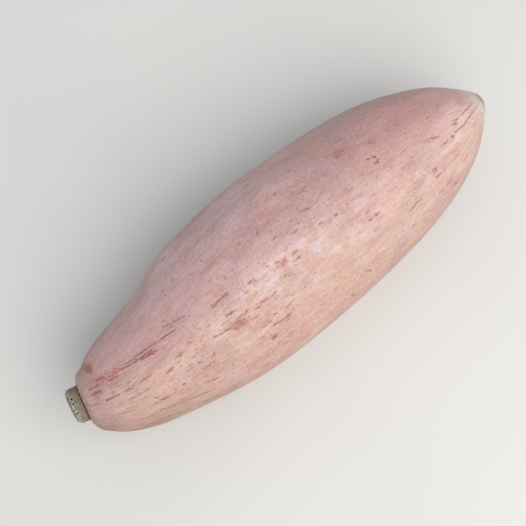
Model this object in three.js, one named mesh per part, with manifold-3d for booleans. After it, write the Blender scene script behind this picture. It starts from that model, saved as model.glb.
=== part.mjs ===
// Banana squash, picked, lying on its side: the fruit and the corky stub of its cut stem.
// Millimetres. +X runs from the stem to the blossom end, +Z is up, and the ground is z = 0.
import * as THREE from "three";
import { mergeVertices } from "three/addons/utils/BufferGeometryUtils.js";
import Module from "manifold-3d";

const wasm = await Module();
wasm.setup();

// The two poles of the fruit, where the cut stem sits and where the blossom was.
// width and height are the limits of half width / sin(t) and half height / sin(t) at the pole.
// yaw and pitch turn the section out of the YZ plane, in degrees.
const STEM_POLE = { x: -227.8, y: 10.6, z: 84.0, width: 150, height: 150, yaw: -15.3, pitch: -4 };
const BLOSSOM_POLE = { x: 240.2, y: -4.4, z: 81.7, width: 56, height: 56, yaw: 0, pitch: 9 };

// Sections of the fruit, from the stem to the blossom end:
// x, y and z of the centre, half width, half height, yaw and pitch.
const SECTIONS = [
  [-224, 7.1, 83.0, 24.3, 24.0, -14, -4],
  [-217, 3.7, 81.4, 31.3, 31.0, -11, -4],
  [-202, 1.0, 79.0, 41.4, 41.0, -7, -3.5],
  [-182, -1.6, 76.9, 49.5, 48.8, -4, -3],
  [-155, -3.5, 75.5, 56.7, 56.0, -1.5, -2.5],
  [-130, -4.3, 74.7, 62.9, 61.6, 0, -2],
  [-110, -3.4, 74.2, 68.6, 66.2, 0, -1.5],
  [-88, -1.9, 73.8, 74.3, 70.4, 0, -1],
  [-50, -1.2, 73.4, 78.4, 75.2, 0, 0],
  [0, 0.4, 73.4, 79.7, 76.8, 0, 0],
  [50, 0.4, 73.4, 76.9, 74.5, 0, 0],
  [100, 0.5, 74.4, 72.0, 70.0, 0, 1],
  [145, -0.1, 75.4, 63.9, 62.6, 0, 3],
  [180, -1.4, 77.0, 52.0, 51.8, 0, 4],
  [210, -2.1, 78.9, 35.8, 36.0, 0, 6],
  [230, -3.2, 80.7, 17.8, 18.2, 0, 8],
];

// Soft relief of the skin
const RIB_COUNT = 10;
const RIB_HEIGHT = 0.7;
const RIB_TWIST = 0.22;
const RIB_PHASE = -0.2;
const KEEL_HEIGHT = 1.6;
const KEEL_ANGLE = -0.12;
const KEEL_HALF_ANGLE = 0.3;
const LUMP_WAVES = [
  { around: 3, drift: 2.1, phase: 1.3, height: 0.45 },
  { around: 2, drift: -3.4, phase: -0.8, height: 0.45 },
  { around: 5, drift: 5.1, phase: 0.4, height: 0.3 },
];

// The belly rests on a flat spot, blended into the skin over this height
const GROUND_BLEND = 1.0;

// The dish in the stem end that the stub grows from
const RIM_TURN = 0.126;
const DISH_DEPTH = 3.0;
const DISH_WALL = 0.8;
const LIP_HEIGHT = 0.5;
const LIP_WIDTH = 4.5;

// The scar of the blossom
const SCAR_RADIUS = 5.5;
const SCAR_RIM_HEIGHT = 0.5;
const SCAR_RIM_WIDTH = 1.6;

// The stub of the cut stem
const STUB_GAP = 0.3;
const STUB_CREVICE = 1.3;
const STUB_LENGTH = 11.8;
const STUB_CUT_TILT = 7;
const STUB_CUT_TURN = 3;
const STUB_EDGE = 5.5;
const STUB_DOME = 0.9;
const STUB_WAVES = [
  { around: 9, drift: 0, phase: 2.3, height: 0.27 },
  { around: 4, drift: 0.5, phase: 0, height: 0.18 },
];

// The open sap vessels in the stub: degrees from its top towards +Y, and distance from its axis.
// The first five are seen from above, and the rest carry on at their spacing.
const VESSELS = [
  [51, 15.7], [23, 15.6], [3.5, 15.6], [-7.5, 13.4], [-30, 15.2], [-52, 14.9], [-75, 15.4], [-98, 15.1],
  [-122, 15.5], [-146, 15], [-170, 15.4], [166, 15.2], [143, 15.5], [120, 15], [98, 15.4], [75, 15.2],
];
const VESSEL_RADIUS = 1;
const VESSEL_TAPER = 0.7;
const VESSEL_DEPTH = 2;
const PITH_RADIUS = 2.6;
const PITH_DEPTH = 1.4;
const BORE_CLEARANCE = 4;

// How finely the surfaces are divided
const AROUND = 56;
const ALONG = 66;
const DISH_ROWS = [5, 10, 14];
const STUB_AROUND = 60;
const STUB_FACE_ROWS = 5;
const STUB_SIDE_ROWS = 5;
const STUB_EDGE_ROWS = 5;
const VESSEL_SIDES = 8;
const PITH_SIDES = 12;

const MIDDLE = (STEM_POLE.x + BLOSSOM_POLE.x) / 2;
const HALF_LENGTH = (BLOSSOM_POLE.x - STEM_POLE.x) / 2;

// A turn of 0 is the stem pole and a turn of PI the blossom pole.
function turnAt(x) {
  return Math.acos((MIDDLE - x) / HALF_LENGTH);
}

const KNOTS = [
  { t: 0, ...STEM_POLE },
  ...SECTIONS.map(([x, y, z, halfWidth, halfHeight, yaw, pitch]) => {
    const t = turnAt(x);
    return { t, y, z, width: halfWidth / Math.sin(t), height: halfHeight / Math.sin(t), yaw, pitch };
  }),
  { t: Math.PI, ...BLOSSOM_POLE },
];

// A smooth curve through one value of the knots, level at both poles
function slopeOf(key, i) {
  if (i === 0 || i === KNOTS.length - 1) return 0;
  const before = KNOTS[i - 1];
  const after = KNOTS[i + 1];
  return (after[key] - before[key]) / (after.t - before.t);
}

function smooth(key, t) {
  let i = KNOTS.findIndex((knot) => knot.t > t) - 1;
  if (i < 0) i = KNOTS.length - 2;
  const from = KNOTS[i];
  const to = KNOTS[i + 1];
  const span = to.t - from.t;
  const u = (t - from.t) / span;
  const startSlope = slopeOf(key, i) * span;
  const endSlope = slopeOf(key, i + 1) * span;
  const rise = u * u * (3 - 2 * u);
  return from[key] + (to[key] - from[key]) * rise
    + startSlope * u * (1 - u) * (1 - u) - endSlope * u * u * (1 - u);
}

// Centre, directions and radii of the section at one turn
function section(t) {
  const yaw = THREE.MathUtils.degToRad(smooth("yaw", t));
  const pitch = THREE.MathUtils.degToRad(smooth("pitch", t));
  const along = new THREE.Vector3(
    Math.cos(pitch) * Math.cos(yaw),
    Math.cos(pitch) * Math.sin(yaw),
    Math.sin(pitch),
  );
  const side = new THREE.Vector3(-Math.sin(yaw), Math.cos(yaw), 0);
  return {
    centre: new THREE.Vector3(MIDDLE - HALF_LENGTH * Math.cos(t), smooth("y", t), smooth("z", t)),
    along,
    side,
    up: new THREE.Vector3().crossVectors(along, side),
    halfWidth: smooth("width", t) * Math.sin(t),
    halfHeight: smooth("height", t) * Math.sin(t),
  };
}

// A sum of waves round the axis that drift as they go along it
function waves(list, phi, along) {
  const heightOf = (wave) =>
    wave.height * Math.sin(wave.around * phi + wave.drift * along + wave.phase);
  return list.reduce((sum, wave) => sum + heightOf(wave), 0);
}

// Height of the skin's relief, with phi = 0 at the top and growing towards +Y
function relief(t, phi) {
  const fade = Math.sin(t);
  const ribs = RIB_HEIGHT * Math.cos(RIB_COUNT * (phi + RIB_TWIST * Math.cos(t)) + RIB_PHASE);
  const fromKeel = 2 * Math.sin((phi - KEEL_ANGLE) / 2);
  const towardsBlossom = (1 - Math.cos(t)) / 2;
  const keel = KEEL_HEIGHT * bell(fromKeel, KEEL_HALF_ANGLE) * towardsBlossom;
  return fade * (ribs + keel + waves(LUMP_WAVES, phi, t));
}

function bell(x, width) {
  return Math.exp(-((x / width) ** 2));
}

// Lets what would sink below the ground lie flat on it
function settle(z) {
  if (z >= GROUND_BLEND) return z;
  if (z <= -GROUND_BLEND) return 0;
  return (z + GROUND_BLEND) ** 2 / (4 * GROUND_BLEND);
}

function skinPoint(t, phi) {
  const s = section(t);
  const radius = Math.sqrt(s.halfWidth * s.halfHeight);
  const swell = 1 + relief(t, phi) / Math.max(radius, 1);
  const point = s.centre.clone()
    .addScaledVector(s.side, s.halfWidth * swell * Math.sin(phi))
    .addScaledVector(s.up, s.halfHeight * swell * Math.cos(phi));
  if (t < Math.PI / 2) {
    const lipMiddle = RIM.halfWidth + LIP_WIDTH / 2;
    point.addScaledVector(s.along, -LIP_HEIGHT * bell(radius - lipMiddle, LIP_WIDTH / 2));
  } else {
    point.addScaledVector(s.along, SCAR_RIM_HEIGHT * bell(radius - SCAR_RADIUS, SCAR_RIM_WIDTH));
  }
  point.z = settle(point.z);
  return point;
}

const RIM = section(RIM_TURN);
const DISH_RADIUS = RIM.halfWidth - DISH_WALL;

// A point by its distances along the stem's axis, out of the fruit, and from that axis
function stemPoint(out, radius, phi) {
  return RIM.centre.clone()
    .addScaledVector(RIM.along, -out)
    .addScaledVector(RIM.side, radius * Math.sin(phi))
    .addScaledVector(RIM.up, radius * Math.cos(phi));
}

// A closed surface from rows of points around an axis, with a tip at each end
function closedSurface(firstTip, rows, lastTip) {
  const around = rows[0].length;
  const points = [firstTip, ...rows.flat(), lastTip];
  const index = [];
  const at = (row, k) => 1 + row * around + (k % around);
  for (let k = 0; k < around; k++) {
    index.push(0, at(0, k + 1), at(0, k));
    for (let row = 0; row < rows.length - 1; row++) {
      index.push(at(row, k), at(row, k + 1), at(row + 1, k));
      index.push(at(row, k + 1), at(row + 1, k + 1), at(row + 1, k));
    }
    index.push(points.length - 1, at(rows.length - 1, k), at(rows.length - 1, k + 1));
  }
  const geometry = new THREE.BufferGeometry().setFromPoints(points);
  geometry.setIndex(index);
  geometry.computeVertexNormals();
  return geometry;
}

function ring(count, pointAt) {
  return Array.from({ length: count }, (_, k) => pointAt((2 * Math.PI * k) / count));
}

// The fruit, one solid from the floor of its dish to the blossom's scar
function fruitGeometry() {
  const rows = [...DISH_ROWS, DISH_RADIUS].map((radius) =>
    ring(AROUND, (phi) => stemPoint(-DISH_DEPTH, radius, phi)));
  for (let i = 0; i < ALONG; i++) {
    const t = RIM_TURN + ((Math.PI - RIM_TURN) * i) / ALONG;
    rows.push(ring(AROUND, (phi) => skinPoint(t, phi)));
  }
  return closedSurface(skinPoint(Math.PI, 0), rows.reverse(), stemPoint(-DISH_DEPTH, 0, 0));
}

// Outer radius of the corky stub, with blunt ridges down its side
function stubRadius(out, phi) {
  return RIM.halfWidth - STUB_CREVICE + waves(STUB_WAVES, phi, out);
}

// How far out the cut face stands at one place on it
function cutFace(radius, phi) {
  const towardsTop = Math.cos(phi) * Math.tan(THREE.MathUtils.degToRad(STUB_CUT_TILT));
  const towardsSide = Math.sin(phi) * Math.tan(THREE.MathUtils.degToRad(STUB_CUT_TURN));
  const dome = STUB_DOME * (1 - (radius / RIM.halfWidth) ** 2);
  return STUB_LENGTH + dome + radius * (towardsSide - towardsTop);
}

// How far out the side reaches, where the broad rounded edge of the stub begins
function shoulder(phi) {
  return cutFace(RIM.halfWidth - STUB_CREVICE - STUB_EDGE, phi) - STUB_EDGE;
}

// How far the surface of the stub's end leans outwards, from 0 on its cut face to PI / 2 at its side
function lean(radius, phi) {
  const share = (radius - (stubRadius(shoulder(phi), phi) - STUB_EDGE)) / STUB_EDGE;
  return Math.asin(THREE.MathUtils.clamp(share, 0, 1));
}

// How far out the stub reaches at one place, on its cut face or its rounded edge
function stubEnd(radius, phi) {
  const angle = lean(radius, phi);
  return angle === 0 ? cutFace(radius, phi) : shoulder(phi) + STUB_EDGE * Math.cos(angle);
}

function stubGeometry() {
  const foot = -DISH_DEPTH + STUB_GAP;
  const footPoint = (share) => (phi) => {
    const radius = share * Math.min(stubRadius(foot, phi), DISH_RADIUS - STUB_GAP);
    return stemPoint(foot, radius, phi);
  };
  const rows = [ring(STUB_AROUND, footPoint(0.5)), ring(STUB_AROUND, footPoint(1))];
  for (let i = 1; i <= STUB_SIDE_ROWS; i++) {
    rows.push(ring(STUB_AROUND, (phi) => {
      const out = foot + ((shoulder(phi) - foot) * i) / STUB_SIDE_ROWS;
      return stemPoint(out, stubRadius(out, phi), phi);
    }));
  }
  for (let i = 1; i <= STUB_EDGE_ROWS; i++) {
    const bend = (Math.PI / 2) * (i / STUB_EDGE_ROWS);
    rows.push(ring(STUB_AROUND, (phi) => {
      const radius = stubRadius(shoulder(phi), phi) - STUB_EDGE * (1 - Math.cos(bend));
      return stemPoint(shoulder(phi) + STUB_EDGE * Math.sin(bend), radius, phi);
    }));
  }
  for (let i = 1; i < STUB_FACE_ROWS; i++) {
    const share = 1 - i / STUB_FACE_ROWS;
    rows.push(ring(STUB_AROUND, (phi) => {
      const radius = share * (stubRadius(shoulder(phi), phi) - STUB_EDGE);
      return stemPoint(cutFace(radius, phi), radius, phi);
    }));
  }
  const firstTip = stemPoint(foot, 0, 0);
  return closedSurface(firstTip, rows, stemPoint(cutFace(0, 0), 0, 0));
}

// A plug that cuts a hole of the given radius and depth straight into the surface of the stub's end
function boreGeometry(fromAxis, phi, radius, depth, sides) {
  const angle = lean(fromAxis, phi);
  const out = stubEnd(fromAxis, phi);
  const place = stemPoint(out, fromAxis, phi);
  const outward = stemPoint(out + Math.cos(angle), fromAxis + Math.sin(angle), phi).sub(place);
  const turn = new THREE.Quaternion().setFromUnitVectors(new THREE.Vector3(0, 1, 0), outward);
  const length = depth + BORE_CLEARANCE;
  const geometry = new THREE.CylinderGeometry(radius, radius * VESSEL_TAPER, length, sides);
  place.addScaledVector(outward, length / 2 - depth);
  geometry.applyMatrix4(new THREE.Matrix4().compose(place, turn, new THREE.Vector3(1, 1, 1)));
  return geometry;
}

function solidOf(geometry) {
  const bare = geometry.clone();
  bare.deleteAttribute("normal");
  bare.deleteAttribute("uv");
  const merged = mergeVertices(bare, 1e-4);
  return new wasm.Manifold(new wasm.Mesh({
    numProp: 3,
    vertProperties: merged.attributes.position.array,
    triVerts: new Uint32Array(merged.index.array),
  }));
}

function geometryOf(solid) {
  const mesh = solid.getMesh();
  const geometry = new THREE.BufferGeometry();
  geometry.setAttribute("position", new THREE.BufferAttribute(mesh.vertProperties, 3));
  geometry.setIndex(new THREE.BufferAttribute(mesh.triVerts, 1));
  geometry.computeVertexNormals();
  return geometry;
}

// The stub with the open ends of its sap vessels in a ring round the pith
function boredStubGeometry() {
  let stub = solidOf(stubGeometry());
  for (const [degrees, fromAxis] of VESSELS) {
    const phi = THREE.MathUtils.degToRad(degrees);
    const bore = boreGeometry(fromAxis, phi, VESSEL_RADIUS, VESSEL_DEPTH, VESSEL_SIDES);
    stub = stub.subtract(solidOf(bore));
  }
  const pith = boreGeometry(0, 0, PITH_RADIUS, PITH_DEPTH, PITH_SIDES);
  return geometryOf(stub.subtract(solidOf(pith)));
}

function piece(name, geometry, color, roughness) {
  const material = new THREE.MeshStandardMaterial({ color, roughness, metalness: 0 });
  const mesh = new THREE.Mesh(geometry, material);
  mesh.name = name;
  return mesh;
}

const squash = new THREE.Group();
squash.add(piece("fruit", fruitGeometry(), 0xdba798, 0.5));
squash.add(piece("stem_stub", boredStubGeometry(), 0xa99f80, 0.85));

export default squash;
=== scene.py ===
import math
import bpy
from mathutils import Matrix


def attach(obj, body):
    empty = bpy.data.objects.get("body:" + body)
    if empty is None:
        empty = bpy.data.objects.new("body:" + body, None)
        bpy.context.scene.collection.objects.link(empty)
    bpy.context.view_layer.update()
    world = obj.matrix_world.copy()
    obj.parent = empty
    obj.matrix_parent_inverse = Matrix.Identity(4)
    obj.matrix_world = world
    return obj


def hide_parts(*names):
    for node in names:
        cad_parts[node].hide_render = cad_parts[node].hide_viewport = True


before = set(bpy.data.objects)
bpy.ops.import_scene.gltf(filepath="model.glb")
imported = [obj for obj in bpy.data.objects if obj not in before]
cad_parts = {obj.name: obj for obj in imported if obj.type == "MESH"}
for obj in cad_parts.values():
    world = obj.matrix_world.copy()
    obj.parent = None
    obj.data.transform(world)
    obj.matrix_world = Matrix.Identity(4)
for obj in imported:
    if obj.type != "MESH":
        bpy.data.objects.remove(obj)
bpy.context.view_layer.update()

# A banana squash lying on a plain pale floor.
# Shapes are in millimetres, in the part's own frame: +X to the blossom end, +Z up, ground at z = 0.
from types import SimpleNamespace

import bpy
import numpy as np
from mathutils import Vector, noise

MM = 0.001

# The two poles of the fruit: x, y, z, limits of half width and half height / sin(t), yaw, pitch
STEM_POLE = (-227.8, 10.6, 84.0, 150.0, 150.0, -15.3, -4.0)
BLOSSOM_POLE = (240.2, -4.4, 81.7, 56.0, 56.0, 0.0, 9.0)

# Sections from the stem to the blossom end: x, y and z, half width, half height, yaw and pitch
SECTIONS = [
    (-224, 7.1, 83.0, 24.3, 24.0, -14, -4),
    (-217, 3.7, 81.4, 31.3, 31.0, -11, -4),
    (-202, 1.0, 79.0, 41.4, 41.0, -7, -3.5),
    (-182, -1.6, 76.9, 49.5, 48.8, -4, -3),
    (-155, -3.5, 75.5, 56.7, 56.0, -1.5, -2.5),
    (-130, -4.3, 74.7, 62.9, 61.6, 0, -2),
    (-110, -3.4, 74.2, 68.6, 66.2, 0, -1.5),
    (-88, -1.9, 73.8, 74.3, 70.4, 0, -1),
    (-50, -1.2, 73.4, 78.4, 75.2, 0, 0),
    (0, 0.4, 73.4, 79.7, 76.8, 0, 0),
    (50, 0.4, 73.4, 76.9, 74.5, 0, 0),
    (100, 0.5, 74.4, 72.0, 70.0, 0, 1),
    (145, -0.1, 75.4, 63.9, 62.6, 0, 3),
    (180, -1.4, 77.0, 52.0, 51.8, 0, 4),
    (210, -2.1, 78.9, 35.8, 36.0, 0, 6),
    (230, -3.2, 80.7, 17.8, 18.2, 0, 8),
]

# Relief of the skin
RIB_COUNT = 10
RIB_HEIGHT = 0.7
RIB_TWIST = 0.22
RIB_PHASE = -0.2
KEEL_HEIGHT = 1.6
KEEL_ANGLE = -0.12
KEEL_HALF_ANGLE = 0.3
LUMP_WAVES = [(3, 2.1, 1.3, 0.45), (2, -3.4, -0.8, 0.45), (5, 5.1, 0.4, 0.3)]
GROUND_BLEND = 1.0

# The dish round the stem and the scar of the blossom
RIM_TURN = 0.126
DISH_DEPTH = 3.0
DISH_WALL = 0.8
LIP_HEIGHT = 0.5
LIP_WIDTH = 4.5
SCAR_RADIUS = 5.5
SCAR_RIM_HEIGHT = 0.5
SCAR_RIM_WIDTH = 1.6

# The stub of the cut stem
STUB_GAP = 0.3
STUB_CREVICE = 1.3
STUB_LENGTH = 11.8
STUB_CUT_TILT = math.radians(7)
STUB_CUT_TURN = math.radians(3)
STUB_EDGE = 5.5
STUB_DOME = 0.9
STUB_WAVES = [(9, 0, 2.3, 0.27), (4, 0.5, 0, 0.18)]

# The open sap vessels: degrees from the top of the stub towards +Y, and distance from its axis
VESSELS = [
    (51, 15.7), (23, 15.6), (3.5, 15.6), (-7.5, 13.4), (-30, 15.2), (-52, 14.9), (-75, 15.4), (-98, 15.1),
    (-122, 15.5), (-146, 15), (-170, 15.4), (166, 15.2), (143, 15.5), (120, 15), (98, 15.4), (75, 15.2),
]
VESSEL_RADIUS = 1.0
VESSEL_DEPTH = 2.0
PITH_RADIUS = 2.6
PITH_DEPTH = 1.4

# How finely the detailed pieces are divided
FRUIT_AROUND = 300
FRUIT_ALONG = 280
DISH_ROWS = (5, 9, 12, 14, 16)
STUB_AROUND = 240
STUB_FOOT_ROWS = 6
STUB_SIDE_ROWS = 24
STUB_EDGE_ROWS = 26
STUB_FACE_ROWS = 40

# Relief of the stub's finer piece: heights, lumps as a size and a seed, and the fractal's own settings
STUB_FIBRE_HEIGHT = 0.32
STUB_FIBRE_SQUEEZE = (1, 1, 0.22)
STUB_FACE_ROUGHNESS = 0.4
VESSEL_LIP_HEIGHT = 0.5
VESSEL_LIP_WIDTH = 0.8
VESSEL_RAGGEDNESS = 0.2
RAGGED_LUMPS = (1.3, 5.0)
FIBRE_LUMPS = (1.5, 11.0)
CRUMB_LUMPS = (1.8, 23.0)
FRACTAL = (0.9, 2.1, 3)

# Where the walls of the holes begin and end as shares of their radii, where the cut face begins as an
# angle, and where the fibres and crumbs set in, as a distance from the foot and a share of the face
VESSEL_WALL = (1.15, 0.75)
PITH_WALL = (1.1, 0.8)
FACE_BEGINS = 1.0
FIBRES_BEGIN = (0.2, 3.5)
CRUMBS_BEGIN = (0.1, 0.5)

# Colours as seen on a screen, from 0 to 255
SHADES = {
    "rose": (199, 160, 158), "salmon": (200, 167, 155), "dusky": (192, 163, 160),
    "rosy": (202, 150, 144), "dull": (188, 154, 147), "blush": (209, 152, 124),
    "bloom": (218, 196, 198), "grain": (168, 122, 116), "pale mottle": (218, 186, 176),
    "dark mottle": (176, 132, 124), "light fleck": (180, 124, 98), "dark fleck": (150, 114, 102),
    "blossom end": (208, 196, 184), "green ring": (138, 146, 118), "scar": (116, 100, 74),
    # dish shade and dish are partly the skin's own colour and partly painted shade in the recess round the
    # stem
    "dish shade": (150, 100, 86), "dish": (78, 40, 30),
    "dark cork": (128, 120, 100), "light cork": (154, 144, 124), "fibre": (98, 84, 66),
    # crevice is partly painted shade at the stub's foot in the dish, and hole is painted shade in the open
    # vessels
    "cork foot": (142, 118, 102), "crevice": (80, 48, 38), "dark face": (118, 122, 112),
    "light face": (160, 163, 152), "crumb": (94, 94, 82), "lip": (206, 210, 198), "hole": (44, 36, 26),
    "floor": (214, 214, 211), "light floor": (219, 218, 215),
}

# Cloudy patterns: size of the lumps, detail, roughness, and the squeeze that draws the lumps out
LENGTHWISE = (0.3, 1, 1)
PATTERNS = {
    "wander": (30, 2, 0.5),
    "clouds": (17, 3, 0.6, LENGTHWISE),
    "dapples": (9, 2, 0.5, LENGTHWISE),
    "hues": (22, 3, 0.6),
    "blush": (7.5, 3, 0.6, LENGTHWISE),
    "bloom": (14, 2, 0.5),
    "grain": (1.6, 2, 0.6, (0.12, 1, 1)),
    "mottle": (2.6, 3, 0.65),
    "strands": (0.8, 2, 0.6, (0.22, 1, 1)),
    "breaks": (1.5, 2, 0.5, LENGTHWISE),
    "pores": (0.9, 3, 0.6),
    "cork fibres": (0.7, 3, 0.6, (1, 1, 0.18)),
    "cork lumps": (2.4, 3, 0.6),
    "cork crumbs": (0.6, 3, 0.65),
}

# Marks on the skin, in millimetres: s runs along the skin from the rim of the dish, and v round it
# from the line along the top, growing towards +Y. Lines are a width and the points they run through.
DARK_LINES = [
    (1.5, (17, 8.8), (30, 8.3)), (1.8, (19, 3.4), (28, 2.6)), (1.5, (29, 13), (38, 12.2)),
    (1.6, (41, 6.2), (49, 5.8)), (1.4, (55, 9.2), (67, 7.3), (80, 6.2), (89, 5.7)),
    (1.8, (77, 5.0), (86, 3.9), (93, 3.0)), (1.3, (73, 10.8), (90, 9.5), (106, 7.9), (118, 6.2)),
    (1.0, (62, 10.8), (73, 9.0)), (1.3, (111, 15.4), (117, 14.2)), (1.0, (122, 12.2), (133, 8.7)),
    (1.6, (156, -3.3), (167, -2.1)), (1.0, (167, -2.2), (176, -1.2)), (1.0, (271, 11.4), (280, 9.2)),
    (1.5, (28, -7.2), (41, -8.8)), (1.5, (431, -15.4), (434, -15.0)),
    (1.2, (194, -27), (201, -28.5)), (1.3, (237, 6.5), (239, 8)), (1.7, (293, -9.7), (295.5, -9.7)),
    (1.2, (350, 13.3), (352, 12.6)), (2.1, (407, -58.5), (409.5, -58.7)), (1.2, (287, -73), (291, -77.5)),
    (1.4, (265, -87), (266.5, -91)), (1.0, (182.6, -62.4), (184.2, -60.2), (187, -60.4)),
    (0.9, (183.4, -63.4), (186.8, -62.8)),
]
RUST_LINES = [
    (1.2, (437, -13.5), (452, -13.1), (460, -11), (475, -7.5), (489, -4.4), (498, -1.9), (505, -0.6)),
    (1.0, (457, -4.8), (470, -2.5), (484, 0.3)), (1.5, (141, -22.2), (146, -23.9), (151, -25.8)),
    (1.2, (33, 10.5), (46, 8.8), (56, 9.4)),
]
OLIVE_LINES = [
    (2.0, (40, -41), (54, -44.7), (68, -46.8), (86, -54), (105, -62)),
    (1.8, (48, -56), (62, -60), (86, -69)), (1.6, (94, -70), (123, -87)),
    (1.6, (46, -17.6), (57, -18.3), (68, -19.8)), (1.5, (14, -5.4), (25, -7.0)),
    (1.9, (31, -24.8), (42, -27.4)), (1.9, (87, -42.6), (94, -45.2)), (2.4, (184, -61.6), (187, -61.6)),
]
RUST_STREAKS = [
    (86, -18.4, 95, -17.8, 2.2),
    (103, -12.1, 110, -12.9, 2.1), (47, -9.0, 56, -10.2, 1.9), (65, -29.3, 72, -32.2, 1.9),
    (65, -34.4, 81, -37.2, 2.1), (112, -49.8, 120, -53.6, 2.3),
    (150, -25.6, 158, -26.0, 2.6), (160, -29.6, 165, -30.6, 2.3), (163, -26.4, 171, -28.6, 2.6),
    (168, -30.2, 174, -31.6, 2.2), (174, -26.0, 181, -25.0, 2.3), (163, -16.2, 171, -17.6, 2.0),
    (186, -12.3, 192, -11.8, 1.8), (195, -7.3, 201, -7.3, 2.2), (185, -28.2, 195, -29.2, 1.6),
    (203, -29.4, 211, -29.0, 1.9), (241, -12.6, 248, -13.8, 2.9), (240, -18.7, 246, -18.9, 2.0),
    (225, -9.2, 229, -11.0, 2.0), (189, -51.0, 202, -52.6, 2.2), (201, -52.3, 211, -54.0, 1.8),
    (181, -45.6, 190, -45.9, 1.9), (195, -43.6, 200, -44.0, 1.9), (394.5, -29.3, 399.5, -31.4, 3.6),
    (393, -38.0, 400, -37.3, 1.6), (352, -49.8, 361, -47.4, 2.0), (360, -47.4, 370, -46.0, 1.6),
    (315, -31.3, 321, -31.4, 1.8), (322, -31.3, 327, -31.5, 2.2), (412, -5.3, 421, -7.4, 2.3),
    (442, -6.9, 447, -7.1, 2.0), (444, -4.1, 453, -5.3, 1.4), (388, -54.7, 393, -54.9, 2.1),
    (384, -8.2, 388, -9.2, 1.7), (428, -30.0, 430, -30.4, 2.2), (36.5, -4.8, 38.5, -4.9, 2.3),
    (114, -29.3, 118, -29.8, 1.9), (104, -28.6, 110, -29.2, 1.9), (132, -32.4, 134, -32.6, 2.0),
    (481, -14.6, 488, -15.4, 2.0), (418, -15.7, 424, -15.9, 1.5), (229, 20.4, 231, 21.4, 2.0),
    (130, 35.2, 132, 35.8, 1.8), (262, 3.4, 264, 3.9, 1.6), (92, -35.8, 96, -36.4, 1.8),
    (62, -10.0, 78, -10.7, 1.3), (125, -38.4, 130, -38.9, 1.8), (263, 40, 267, 41, 1.9),
]
FAINT_STREAKS = [
    (60, 11.5, 68, 9.0, 2.5), (34, 3.0, 42, 2.2, 2.4), (18, -1.5, 23, -2.0, 4.0),
    (53, -13.4, 60, -14.7, 2.2), (35, -17.3, 41, -17.6, 1.8),
    (41, -24.6, 46, -25.3, 1.8), (63, -47.0, 86, -51.6, 3.4),
    (115, -22.4, 121, -22.9, 1.8), (124, -22.5, 129, -22.9, 1.8), (79, -21.2, 83, -21.9, 1.8),
    (84, -34.8, 89, -35.3, 1.7), (102, -37.4, 108, -37.9, 1.9), (115, -37.3, 120, -37.8, 1.8),
    (93, -42.0, 100, -42.8, 1.9), (99, -48.2, 105, -48.9, 1.9), (97, -57.6, 106, -60.4, 2.6),
    (109, -57.2, 114, -58.0, 2.2), (37, 40.4, 46, 40.7, 2.0), (158, -26.5, 176, -29.6, 7.0),
    (171, -51.0, 178, -53.2, 2.4), (182, -57.4, 186, -61.4, 4.4), (185, -61.0, 191, -66.6, 2.2),
    (148, 74.6, 156, 73.4, 5.0), (166, 72.6, 172, 72.0, 3.5), (174, 87.0, 183, 86.8, 5.0),
    (183, 57.0, 189, 57.4, 4.0), (213, 29.0, 218, 28.6, 1.6), (163, 23.7, 166, 23.2, 1.6),
    (230, -30.5, 242, -30.7, 1.2), (214, -45.3, 220, -45.7, 1.8), (245, -49.9, 251, -50.2, 1.8),
    (329, 36.6, 338, 33.0, 6.5), (360, 26.4, 371, 24.6, 6.0), (313, 3.8, 321, 1.0, 6.0),
    (300, -49.4, 310, -48.6, 1.5), (314, -42.8, 321, -42.2, 1.6), (449, -35.0, 458, -36.6, 1.9),
    (459, -20.0, 468, -20.3, 1.9), (464, 6.8, 469, 4.8, 3.8), (224, -13.8, 233, -12.6, 4.6),
    (322, -83.2, 328, -84.0, 2.4), (226, -81.3, 229, -81.7, 2.2), (156, -83.4, 159, -84.6, 2.2),
    (319, -65.2, 323, -66.0, 2.0), (347, -65.8, 351, -66.4, 2.0), (272, 30.0, 292, 27.5, 5.0),
]
TAN_PATCHES = [(23, 30.5, 33, 28.5, 10), (22, 35.5, 29, 33.5, 7.5), (27, 25.8, 31, 25.0, 5.5)]
PALE_PATCHES = [(379, -24.5, 387, -25.5, 7.0), (383, -31.5, 390, -33.0, 4.0)]
RED_PATCHES = [
    (25, 12.3, 42, 9.6, 9.0), (42, 8.4, 58, 13.6, 7.0), (33, 11, 52, 12, 6.5),
    (18, 3.6, 30, 2.4, 6.0),
    (228, -14, 236, -12.5, 5.0), (326, 36.5, 340, 33.5, 7.0), (76, 6.6, 90, 5.2, 4.0),
    (160, -27, 178, -30, 6.5),
]
CURL = {
    "s": 355.2, "v": 8.8, "radius": 3.1, "width": 1.0, "spine": 0.3,
    "open_at": math.radians(150), "half_open": 1.15, "tips": (-0.15, 0.25),
}

# How far the line along the top leans, where along the skin, and over what reach
TOP_LEAN = [(3.3, 392, 85), (1.3, 60, 55)]
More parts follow.
